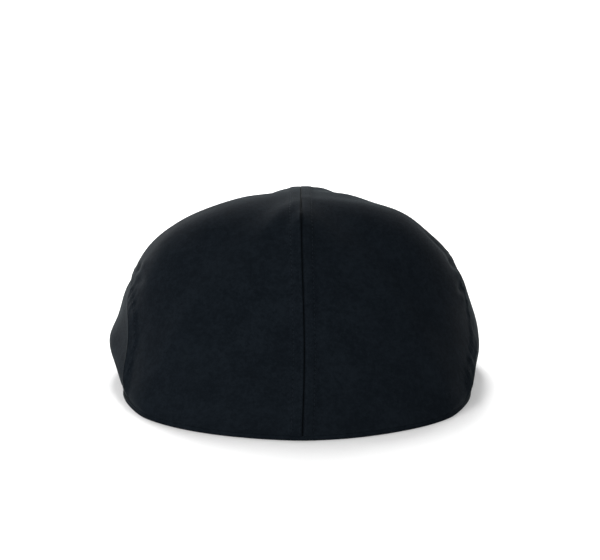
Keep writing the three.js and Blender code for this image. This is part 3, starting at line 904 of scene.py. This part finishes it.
class Graph:
    """Adds nodes to a node tree. Settings are set first, then the sockets get values or links."""

    def __init__(self, tree):
        self.tree = tree

    def node(self, kind, sockets, output=0, **settings):
        made = self.tree.nodes.new(kind)
        for name, value in settings.items():
            setattr(made, name, value)
        for name, value in sockets.items():
            if isinstance(value, Wire):
                self.tree.links.new(value.socket, made.inputs[name])
            else:
                made.inputs[name].default_value = value
        if output is None:
            return made
        return Wire(self, made.outputs[output])

    def math(self, operation, *values):
        return self.node("ShaderNodeMath", dict(enumerate(values)), operation=operation)

    def stored_on(self, geometry, name, value):
        """The geometry, with a number kept at each of its points."""
        sockets = {"Geometry": geometry, "Name": name, "Value": value}
        return self.node("GeometryNodeStoreNamedAttribute", sockets, data_type="FLOAT", domain="POINT")


# %% The tree that lays a row of stitches
THREAD_RADIUS = 0.16 * MM
STITCH_SHARE = 0.86
STITCH_DIVE = 0.3 * MM
THREAD_SIDES = 6
STITCH_BENDS = 6
MOST_TILT = Vector((0.02, 0.03, 0.05))
LEAST_STRETCH = (0.94, 0.95, 0.9)
MOST_STRETCH = (1.02, 1.05, 1.15)
ROW_INPUTS = {
    "name": ["Row", "Stitches", "Bow length", "Thread radius", "Dive", "Seed", "Thread"],
    "kind": ["Geometry", "Int", "Float", "Float", "Float", "Int", "Material"],
}


def stitch_tree():
    tree = bpy.data.node_groups.new("row_of_stitches", "GeometryNodeTree")
    face = tree.interface
    for socket in rows_of(ROW_INPUTS):
        face.new_socket(socket["name"], in_out="INPUT", socket_type="NodeSocket" + socket["kind"])
    face.new_socket("Stitched", in_out="OUTPUT", socket_type="NodeSocketGeometry")
    graph = Graph(tree)
    node = graph.node
    given = node("NodeGroupInput", {}, None)
    wire = {socket.name: Wire(graph, socket) for socket in given.outputs}

    half = wire["Bow length"] * 0.5
    down = -wire["Dive"]
    radius = wire["Thread radius"]
    start = node("ShaderNodeCombineXYZ", {"X": -half, "Z": down})
    crown = node("ShaderNodeCombineXYZ", {"Z": wire["Dive"] + radius})
    end = node("ShaderNodeCombineXYZ", {"X": half, "Z": down})
    bow = node("GeometryNodeCurveQuadraticBezier",
               {"Resolution": STITCH_BENDS, "Start": start, "Middle": crown, "End": end})
    section = node("GeometryNodeCurvePrimitiveCircle",
                   {"Resolution": THREAD_SIDES, "Radius": radius}, mode="RADIUS")
    share = node("GeometryNodeSplineParameter", {}, "Factor")
    bow = graph.stored_on(bow, "thread_along", share)
    section = graph.stored_on(section, "thread_round", share)
    body = node("GeometryNodeCurveToMesh", {"Curve": bow, "Profile Curve": section, "Fill Caps": True})
    body = node("GeometryNodeSetShadeSmooth", {"Geometry": body})

    row = node("GeometryNodeMeshToCurve", {"Mesh": wire["Row"]})
    row = node("GeometryNodeResampleCurve", {"Curve": row, "Count": wire["Stitches"]}, mode="COUNT")
    vector = {"data_type": "FLOAT_VECTOR"}
    outward = node("GeometryNodeInputNamedAttribute", {"Name": "outward"}, **vector)
    along = node("GeometryNodeInputTangent", {})
    turned = node("FunctionNodeAxesToRotation", {"Primary Axis": outward, "Secondary Axis": along},
                  primary_axis="Z", secondary_axis="X")
    tilt = node("FunctionNodeRandomValue",
                {"Min": -MOST_TILT, "Max": MOST_TILT, "Seed": wire["Seed"]}, **vector)
    tilt = node("FunctionNodeEulerToRotation", {"Euler": tilt})
    turned = node("FunctionNodeRotateRotation", {"Rotation": turned, "Rotate By": tilt},
                  rotation_space="LOCAL")
    size = node("FunctionNodeRandomValue",
                {"Min": LEAST_STRETCH, "Max": MOST_STRETCH, "Seed": wire["Seed"] + 1}, **vector)
    laid = node("GeometryNodeInstanceOnPoints",
                {"Points": row, "Instance": body, "Rotation": turned, "Scale": size})
    laid = node("GeometryNodeRealizeInstances", {"Geometry": laid})
    laid = node("GeometryNodeSetMaterial", {"Geometry": laid, "Material": wire["Thread"]})
    node("NodeGroupOutput", {"Stitched": laid}, None)
    print("the stitch tree has", len(tree.nodes), "nodes")
    return tree


# %% [markdown]
# Brushed cotton
#
# The cloth is a fine, very dark twill whose face has been brushed, so that short fibres stand up and half
# hide the weave. The base colour is nearly black with a cool cast, in soft patches where the pile lies this
# way or that. There is almost no gloss, but a velvet-like sheen, since upright fibres catch the light where
# the cloth turns away from the eye. A fine bump from the twill and the pile keeps the surface from looking
# like plastic. An image texture would blur close up, so noise and sums of sines make all this, on the
# cloth's own flat coordinates.


# %% A finish under construction
class Finish(Graph):
    """A material's node tree, with the few patterns that our cloths share."""

    def __init__(self, name):
        self.material = bpy.data.materials.new(name)
        self.material.use_nodes = True
        self.material.node_tree.nodes.clear()
        super().__init__(self.material.node_tree)
        self.solid = self.node("ShaderNodeTexCoord", {}, "Object")

    def stored(self, name):
        return self.node("ShaderNodeAttribute", {}, "Fac", attribute_name=name)

    def ramp(self, value, low, high):
        """0 below low, 1 above high and smooth between."""
        sockets = {"Value": value, "From Min": low, "From Max": high}
        return self.node("ShaderNodeMapRange", sockets, interpolation_type="SMOOTHSTEP")

    def blend(self, share, first, second):
        """Mixes two colours. The node's colour sockets are numbers 6 and 7, and its colour output is 2."""
        return self.node("ShaderNodeMix", {0: share, 6: first, 7: second}, 2, data_type="RGBA")

    def noise(self, place, scale, detail=2, roughness=0.5):
        sockets = {"Vector": place, "Scale": scale, "Detail": detail, "Roughness": roughness}
        return self.node("ShaderNodeTexNoise", sockets)

    def bump(self, height):
        """The normal of a surface raised by a height in metres."""
        return self.node("ShaderNodeBump", {"Height": height, "Distance": 1})

    def finish(self, sockets):
        shader = self.node("ShaderNodeBsdfPrincipled", sockets)
        self.node("ShaderNodeOutputMaterial", {"Surface": shader}, None)
        return self.material


# %% The brushed twill
TWILL_PITCH = 0.62 * MM
TWILL_RISE = 0.012 * MM
PILE_RISE = 0.05 * MM
PATCH_RISE = 0.06 * MM
HOLE_DEPTH = 0.2 * MM
HOLE_WIDTH = 0.75 * MM
# Painted shade in each seam's crease and in the needle holes.
CREASE_WIDTH = 0.9 * MM
# The seam's lighter shoulder: rubbed wear, and a painted highlight.
RUB_HIGHLIGHT_START = 0.9 * MM
RUB_HIGHLIGHT_END = 2.4 * MM
RUB_HIGHLIGHT_STRENGTH = 0.12
CREASE_SHADE_STRENGTH = 0.75
HOLE_SHADE_STRENGTH = 0.35
TWILL_SLOPE = 1.6
THREAD_STRENGTH = 0.22
WANDER_SCALE = 90
PILE_SCALE = (2600, 1500, 1)
TUFT_SCALE = 900
PATCH_SCALE = 330
SWATHE_SCALE = 60
MOTTLE_LOW = 0.38
MOTTLE_HIGH = 0.64

DEEP_COTTON = (0.0023, 0.0037, 0.0056, 1)
PALE_COTTON = (0.0065, 0.0093, 0.0128, 1)
# The weave's lighter threads, and the seam's lighter shoulder: rubbed wear with a painted highlight.
WEAVE_AND_HIGHLIGHT_COTTON = (0.017, 0.022, 0.027, 1)
# Painted shade, for the seams' creases and the needle holes.
PAINTED_SHADE_COTTON = (0.0012, 0.0018, 0.0024, 1)
SHEEN_TINT = (0.68, 0.95, 1.0, 1)


def brushed_twill(name, weave_strength=1.0):
    """Nearly black cotton twill with a brushed face. Reads the panels' seam attributes."""
    cloth = Finish(name)
    flat = cloth.node("ShaderNodeUVMap", {}, uv_map="cloth")
    across = cloth.node("ShaderNodeSeparateXYZ", {"Vector": flat}, "X")
    along = cloth.node("ShaderNodeSeparateXYZ", {"Vector": flat}, "Y")

    wander = cloth.noise(cloth.solid, WANDER_SCALE, detail=1) * (0.5 * TWILL_PITCH)
    diagonal = (across + TWILL_SLOPE * along + wander) * (2 * math.pi / TWILL_PITCH)
    twill = cloth.math("SINE", diagonal) * 0.5 + 0.5
    brushed = cloth.node("ShaderNodeMapping", {"Vector": flat, "Scale": PILE_SCALE})
    pile = cloth.noise(brushed, 1, detail=3, roughness=0.6)
    tufts = cloth.noise(cloth.solid, TUFT_SCALE, roughness=0.55)
    patches = cloth.noise(cloth.solid, PATCH_SCALE, detail=3, roughness=0.6)
    swathes = cloth.noise(cloth.solid, SWATHE_SCALE)

    mottle = cloth.ramp(0.42 * patches + 0.25 * swathes + 0.33 * tufts, MOTTLE_LOW, MOTTLE_HIGH)
    shade = cloth.blend(mottle * 0.75 + pile * 0.25, DEEP_COTTON, PALE_COTTON)
    threads = cloth.ramp(pile * 0.6 + twill * 0.4, 0.35, 0.75)
    shade = cloth.blend(threads * (THREAD_STRENGTH * weave_strength), shade, WEAVE_AND_HIGHLIGHT_COTTON)

    # Painted lighter on the shoulder beside each seam's rolled edge: rubbed wear, and a painted highlight
    # where the roll catches the light.
    edge_off = cloth.stored("edge_off")
    rub_highlight_begun = cloth.ramp(edge_off, RUB_HIGHLIGHT_START, 1.5 * RUB_HIGHLIGHT_START)
    rub_highlight_ended = cloth.ramp(edge_off, 0.7 * RUB_HIGHLIGHT_END, RUB_HIGHLIGHT_END)
    rub_and_highlight = rub_highlight_begun * (1 - rub_highlight_ended) * cloth.ramp(tufts, 0.35, 0.6)
    shade = cloth.blend(rub_and_highlight * RUB_HIGHLIGHT_STRENGTH, shade, WEAVE_AND_HIGHLIGHT_COTTON)
    # Painted shade in each seam's crease, deepest at its edge, where little light gets in.
    crease_shade = 1 - cloth.ramp(edge_off, 0.3 * CREASE_WIDTH, CREASE_WIDTH)
    shade = cloth.blend(crease_shade * CREASE_SHADE_STRENGTH, shade, PAINTED_SHADE_COTTON)

    # Painted shade in the needle holes, which the bump also presses in.
    between = cloth.math("COSINE", (cloth.stored("row_run") + 0.5) * math.pi)
    hole = (1 - cloth.ramp(cloth.stored("row_off"), 0, HOLE_WIDTH)) * (between * between) ** 2
    shade = cloth.blend(hole * HOLE_SHADE_STRENGTH, shade, PAINTED_SHADE_COTTON)

    height = twill * (TWILL_RISE * weave_strength) + pile * PILE_RISE
    height = height + patches * PATCH_RISE - hole * HOLE_DEPTH
    return cloth.finish({
        "Base Color": shade,
        "Roughness": cloth.ramp(pile, 0, 1) * 0.12 + 0.82,
        "Specular IOR Level": 0.02,
        "Sheen Weight": 0.022,
        "Sheen Roughness": 0.22,
        "Sheen Tint": SHEEN_TINT,
        "Normal": cloth.bump(height),
    })


cotton = brushed_twill("brushed_cotton")
print("brushed cotton has", len(cotton.node_tree.nodes), "nodes")

# %% [markdown]
# Cloth on the bill, and thread
#
# The bill's cloth is the same cotton pulled tight over a board, so its weave is flatter. The sewing thread
# is spun polyester in the same near black. Its two twisted plies are drawn by a sine of the position along
# the bow and round it, and a little gloss sets it off from the matt pile.

# %% Bill cloth and thread
bill_cloth = brushed_twill("bill_cloth", weave_strength=0.6)

THREAD_TURNS = 5
PLY_RISE = 0.04 * MM
FIBRE_SCALE = 2500
DEEP_THREAD = (0.005, 0.007, 0.010, 1)
PALE_THREAD = (0.013, 0.018, 0.024, 1)


def sewing_thread():
    thread = Finish("sewing_thread")
    turn = thread.stored("thread_along") * THREAD_TURNS + thread.stored("thread_round")
    plies = thread.math("ABSOLUTE", thread.math("SINE", turn * (2 * math.pi)))
    fibre = thread.noise(thread.solid, FIBRE_SCALE)
    shade = thread.blend(plies * 0.7 + fibre * 0.3, DEEP_THREAD, PALE_THREAD)
    return thread.finish({
        "Base Color": shade,
        "Roughness": 0.65 + fibre * 0.2,
        "Specular IOR Level": 0.03,
        "Sheen Weight": 0.03,
        "Sheen Roughness": 0.4,
        "Sheen Tint": SHEEN_TINT,
        "Normal": thread.bump(plies * PLY_RISE),
    })


thread = sewing_thread()
print("thread has", len(thread.node_tree.nodes), "nodes")

# %% Lay the rows
FIRST_SEED = 5


def lay_row(name, path, tree, seed):
    """Makes one row of stitches a plain mesh piece."""
    points = path["points"]
    mesh = bpy.data.meshes.new(name)
    mesh.from_pydata(points.tolist(), [(i, i + 1) for i in range(len(points) - 1)], [])
    layer = mesh.attributes.new("outward", "FLOAT_VECTOR", "POINT")
    layer.data.foreach_set("vector", path["outward"].astype(np.float32).ravel())
    line = added(name, mesh)
    modifier = line.modifiers.new("stitches", "NODES")
    modifier.node_group = tree
    pitch = run_along(points)[-1] / path["stitches"]
    given = {
        "Stitches": path["stitches"] + 1,
        "Bow length": pitch * STITCH_SHARE,
        "Thread radius": THREAD_RADIUS,
        "Dive": STITCH_DIVE,
        "Seed": seed,
        "Thread": thread,
    }
    for socket in tree.interface.items_tree:
        if socket.name in given and socket.in_out == "INPUT":
            modifier[socket.identifier] = given[socket.name]
    evaluated = line.evaluated_get(bpy.context.evaluated_depsgraph_get())
    laid = bpy.data.meshes.new_from_object(evaluated)
    line.modifiers.clear()
    line.data = laid
    return line


tree = stitch_tree()
stitch_rows = []
for seed, ((panel, seam), path) in enumerate(paths.items(), FIRST_SEED):
    part, side = panel.split("_")
    stitch_rows.append(lay_row(f"stitches_{part}_{seam}_{side}", path, tree, seed))
    print(stitch_rows[-1].name, len(stitch_rows[-1].data.polygons), "faces")

# %% [markdown]
# Joining the frame
#
# Each cloth piece stands for one imported piece, which is then hidden. It rides on the same body, so it goes
# wherever that body goes. The panels get the brushed cotton, and the bill its own cloth.

# %% Replace the imported pieces
for side in SIGN:
    for part in ("top", "side"):
        piece = cloth_pieces[f"{part}_{side}"][0]
        piece.data.materials.append(cotton)
        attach(piece, "root")
        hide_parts(f"{part}_panel_{side}")
bill_cover.data.materials.append(bill_cloth)
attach(bill_cover, "root")
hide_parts("bill")
for row in stitch_rows:
    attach(row, "root")
print("cloth pieces:", len(cloth_pieces) + 1, "and rows of stitches:", len(stitch_rows))

# %% [markdown]
# The studio
#
# The cap lies on a white sweep in soft light from all round. A small strong light above and behind it
# lights the top of the crown and leaves the front to the soft light. Two low lights at the back graze the
# sides. A weak low one in front on the left makes the left half a little lighter and reaches the bill's
# edge. The floor glows slightly, so it is overexposed and only the closest shadows show on it. The Standard
# view keeps the white white.

# %% Floor
FLOOR_SIZE = 9
FLOOR_GLOW = 0.09
GRAIN_SCALE = 700
GRAIN_RISE = 0.02 * MM
DEEP_PAPER = (0.86, 0.86, 0.86, 1)
PALE_PAPER = (0.9, 0.9, 0.9, 1)
WHITE = (1, 1, 1, 1)


def white_sweep():
    paper = Finish("white_paper")
    grain = paper.noise(paper.solid, GRAIN_SCALE, detail=3)
    return paper.finish({
        "Base Color": paper.blend(grain, DEEP_PAPER, PALE_PAPER),
        "Roughness": grain * 0.1 + 0.8,
        "Specular IOR Level": 0.2,
        "Emission Color": WHITE,
        "Emission Strength": FLOOR_GLOW,
        "Normal": paper.bump(grain * GRAIN_RISE),
    })


half = FLOOR_SIZE / 2
floor_mesh = bpy.data.meshes.new("floor")
corners = [(-half, -half, 0), (half, -half, 0), (half, half, 0), (-half, half, 0)]
floor_mesh.from_pydata(corners, [], [(0, 1, 2, 3)])
floor_mesh.materials.append(white_sweep())
floor = added("floor", floor_mesh)
floor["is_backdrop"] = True
print("the floor is", FLOOR_SIZE, "m wide")

# %% Lights
ROOM_LIGHT = 0.60
LIGHT_TARGET = (0, 0, 50 * MM)
SOFTBOXES = {
    "name": ["key", "rim_left", "rim_right", "fill"],
    "x": [-0.15, -1.1, 1.1, -1.25],
    "y": [1.6, 1.7, 1.7, -1.5],
    "z": [1.45, 0.4, 0.4, 0.5],
    "width": [0.6, 0.8, 0.8, 0.9],
    "watts": [47, 40, 18, 23],
}

world = bpy.data.worlds.new("white_room")
world.use_nodes = True
background = world.node_tree.nodes["Background"]
background.inputs["Color"].default_value = WHITE
background.inputs["Strength"].default_value = ROOM_LIGHT
bpy.context.scene.world = world
for box in rows_of(SOFTBOXES):
    lamp = bpy.data.lights.new(box["name"], "AREA")
    lamp.shape = "SQUARE"
    lamp.size = box["width"]
    lamp.energy = box["watts"]
    holder = added(box["name"], lamp)
    holder.location = (box["x"], box["y"], box["z"])
    towards = Vector(LIGHT_TARGET) - holder.location
    holder.rotation_euler = towards.to_track_quat("-Z", "Y").to_euler()
bpy.context.scene.view_settings.view_transform = "Standard"
print("softboxes:", SOFTBOXES["name"])

# %% Camera
CAMERA_DISTANCE = 1164 * MM
CAMERA_RISE = math.radians(16)
CAMERA_TARGET_Z = 40 * MM
CAMERA_LENS = 113.76
SENSOR_WIDTH = 36
SHIFT_RIGHT = 0.0075
SHIFT_UP = 0.0521

lens = bpy.data.cameras.new("camera")
lens.lens = CAMERA_LENS
lens.sensor_width = SENSOR_WIDTH
lens.shift_x = SHIFT_RIGHT
lens.shift_y = SHIFT_UP
camera = added("camera", lens)
camera.location = (
    0,
    -CAMERA_DISTANCE * math.cos(CAMERA_RISE),
    CAMERA_TARGET_Z + CAMERA_DISTANCE * math.sin(CAMERA_RISE),
)
camera.rotation_euler = (math.pi / 2 - CAMERA_RISE, 0, 0)
bpy.context.scene.camera = camera
print("the camera is at", [round(v, 3) for v in camera.location])

# %% Sizes
visual_box = [list(corner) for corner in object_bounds()]
for name, box in (("packed box", cad_box), ("our box", visual_box)):
    print(name, [[round(v / MM, 2) for v in corner] for corner in box])
